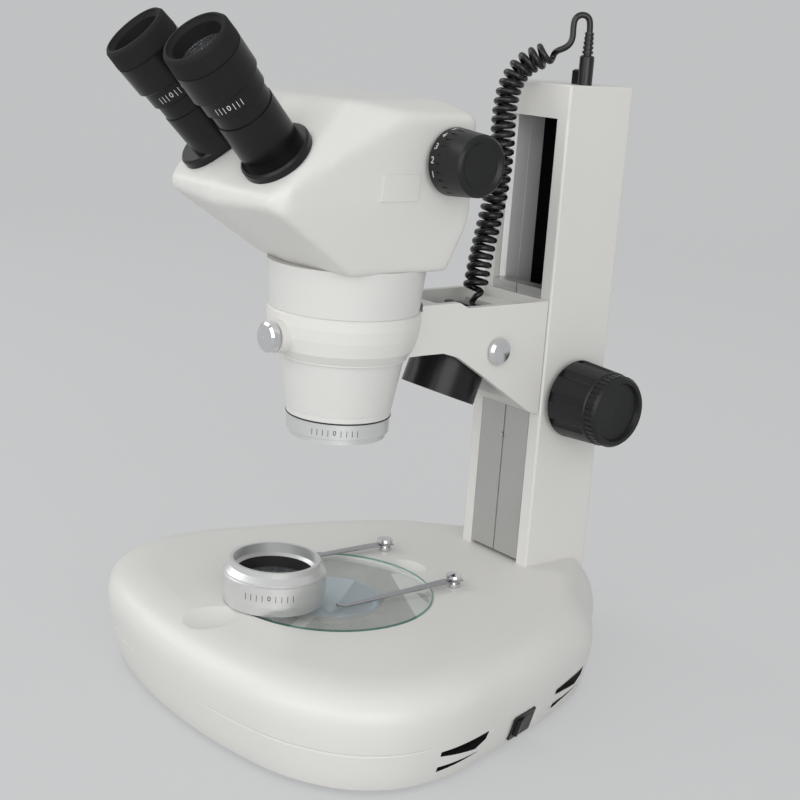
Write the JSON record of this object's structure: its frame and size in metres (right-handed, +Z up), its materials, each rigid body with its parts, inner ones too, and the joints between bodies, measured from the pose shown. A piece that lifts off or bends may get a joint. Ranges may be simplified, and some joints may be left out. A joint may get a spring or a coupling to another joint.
{
  "type": "binocular stereo microscope",
  "caption": "Bench stereo microscope with angled eyepieces, a zoom head on a focusing arm, a pillar stand with upper and lower lights, a glass stage plate, stage clips and a loose add-on lens.",
  "frame": {"origin": "on the table, under the middle of the object's box without the lamp cord", "axes": "+Z up; +X to the user's right; +Y from the user towards the pillar"},
  "size_m": [0.2868, 0.3457, 0.4086],
  "materials": {
    "enamel_white": "satin enamel",
    "barrel_grey_white": "satin enamel",
    "black_enamel": "semi-gloss",
    "black_plastic": "fine texture",
    "black_rubber": "matt",
    "chrome": "polished",
    "spring_steel": "ground",
    "satin_aluminium": "fine brushed",
    "cast_aluminium": "as cast",
    "bearing_brass": "machined",
    "clear_glass": "polished",
    "frosted_glass": "frosted",
    "board_green": "solder mask"
  },
  "bodies": {
    "stand": {"base_housing": "enamel_white", "base_floor": "black_enamel", "rubber_feet": "black_rubber", "frosted_window": "frosted_glass", "lower_lamp": "board_green", "driver_board": "board_green", "power_inlet": "black_plastic", "switch_bezel": "black_plastic", "glass_plate": "clear_glass", "column_housing": "enamel_white", "column_cap": "enamel_white", "cap_jack": "black_plastic", "guide_rails": "satin_aluminium", "focus_bushes": "bearing_brass", "lamp_cord_coil": "black_rubber", "lamp_cord_lead": "black_rubber", "cord_plug": "black_plastic"},
    "rocker": {"power_rocker": "black_plastic"},
    "clip_left": {"clip_post_left": "chrome", "clip_leaf_left": "spring_steel"},
    "clip_right": {"clip_post_right": "chrome", "clip_leaf_right": "spring_steel"},
    "aux_lens": {"aux_lens_ring": "satin_aluminium", "aux_lens_glass": "clear_glass"},
    "carriage": {"arm_casting": "enamel_white", "slider_bar": "satin_aluminium", "focus_rack": "spring_steel", "carriage_screws": "spring_steel"},
    "focus_drive": {"focus_shaft": "spring_steel", "focus_pinion": "bearing_brass", "focus_knob_left": "black_plastic", "focus_knob_right": "black_plastic"},
    "head_clamp": {"head_clamp_screw": "chrome"},
    "lamp": {"lamp_housing": "black_enamel", "lamp_lens": "clear_glass", "lamp_source": "cast_aluminium", "lamp_cord_gland": "black_plastic", "lamp_pivot_pin": "spring_steel"},
    "lamp_lock": {"lamp_lock_screw": "chrome"},
    "head": {"head_shell": "enamel_white", "head_barrel": "barrel_grey_white", "lens_collar": "barrel_grey_white", "objective_ring": "satin_aluminium", "objective_glass": "clear_glass", "optics_frame": "cast_aluminium", "zoom_bushes": "bearing_brass"},
    "zoom": {"zoom_shaft": "spring_steel", "zoom_knob_left": "black_plastic", "zoom_knob_right": "black_plastic"},
    "eyetube_left": {"eyetube_left": "black_enamel", "eyepiece_barrel_left": "black_enamel"},
    "eyetube_right": {"eyetube_right": "black_enamel", "eyepiece_barrel_right": "black_enamel"},
    "diopter_left": {"diopter_ring_left": "black_enamel", "eyecup_left": "black_rubber", "eye_lens_left": "clear_glass"},
    "diopter_right": {"diopter_ring_right": "black_enamel", "eyecup_right": "black_rubber", "eye_lens_right": "clear_glass"}
  },
  "joints": [
    {"name": "focus_travel", "type": "slide", "parent": "stand", "child": "carriage", "axis": [0, 0, 1], "range_m": [0, 0.1], "deforming": ["lamp_cord_coil"]},
    {"name": "focus_knob_turn", "type": "hinge", "parent": "stand", "child": "focus_drive", "pos_m": [0, 0.12611, 0.1713], "axis": [1, 0, 0], "range_deg": [-640, 5]},
    {"name": "head_turn", "type": "hinge", "parent": "carriage", "child": "head", "pos_m": [0, -0.03589, 0.23], "axis": [0, 0, 1], "range_deg": [-120, 120]},
    {"name": "head_clamp_turn", "type": "hinge", "parent": "carriage", "child": "head_clamp", "pos_m": [0, -0.08049, 0.221], "axis": [0, -1, 0], "continuous": true},
    {"name": "lamp_tilt", "type": "hinge", "parent": "carriage", "child": "lamp", "pos_m": [0, 0.05911, 0.207], "axis": [1, 0, 0], "range_deg": [-10, 12]},
    {"name": "lamp_lock_turn", "type": "hinge", "parent": "carriage", "child": "lamp_lock", "pos_m": [0.03, 0.05911, 0.207], "axis": [1, 0, 0], "continuous": true},
    {"name": "rocker_switch", "type": "hinge", "parent": "stand", "child": "rocker", "pos_m": [0.12403, 0.01361, 0.0135], "axis": [0.2533, 0.065, 0.9652], "range_deg": [-18, 0]},
    {"name": "clip_left_swing", "type": "hinge", "parent": "stand", "child": "clip_left", "pos_m": [-0.039, 0.03911, 0.0604], "axis": [0, 0, 1], "range_deg": [-75, 7]},
    {"name": "clip_right_swing", "type": "hinge", "parent": "stand", "child": "clip_right", "pos_m": [0.0325, 0.03711, 0.0604], "axis": [0, 0, 1], "range_deg": [-3, 75]},
    {"name": "aux_lens_lift", "type": "slide", "parent": "stand", "child": "aux_lens", "axis": [0, 0, 1], "range_m": [0, 0.05]},
    {"name": "zoom_turn", "type": "hinge", "parent": "head", "child": "zoom", "pos_m": [0, -0.01289, 0.3243], "axis": [1, 0, 0], "range_deg": [-150, 120]},
    {"name": "eyetube_left_turn", "type": "hinge", "parent": "head", "child": "eyetube_left", "pos_m": [-0.0302, -0.10797, 0.32443], "axis": [-0.0889, -0.6932, 0.7153], "range_deg": [-15, 85]},
    {"name": "diopter_left_turn", "type": "hinge", "parent": "eyetube_left", "child": "diopter_left", "pos_m": [-0.02764, -0.1425, 0.36336], "axis": [-0.0889, -0.6932, 0.7153], "range_deg": [-60, 60]},
    {"name": "eyetube_right_turn", "type": "hinge", "parent": "head", "child": "eyetube_right", "pos_m": [0.0302, -0.10797, 0.32443], "axis": [0.0889, -0.6932, 0.7153], "range_deg": [-85, 15]},
    {"name": "diopter_right_turn", "type": "hinge", "parent": "eyetube_right", "child": "diopter_right", "pos_m": [0.02764, -0.1425, 0.36336], "axis": [0.0889, -0.6932, 0.7153], "range_deg": [-60, 60]}
  ],
  "couplings": [
    {"joint": "focus_knob_turn", "follows": "focus_travel", "rad_per_m": -111.11},
    {"joint": "eyetube_right_turn", "follows": "eyetube_left_turn", "ratio": -1}
  ]
}
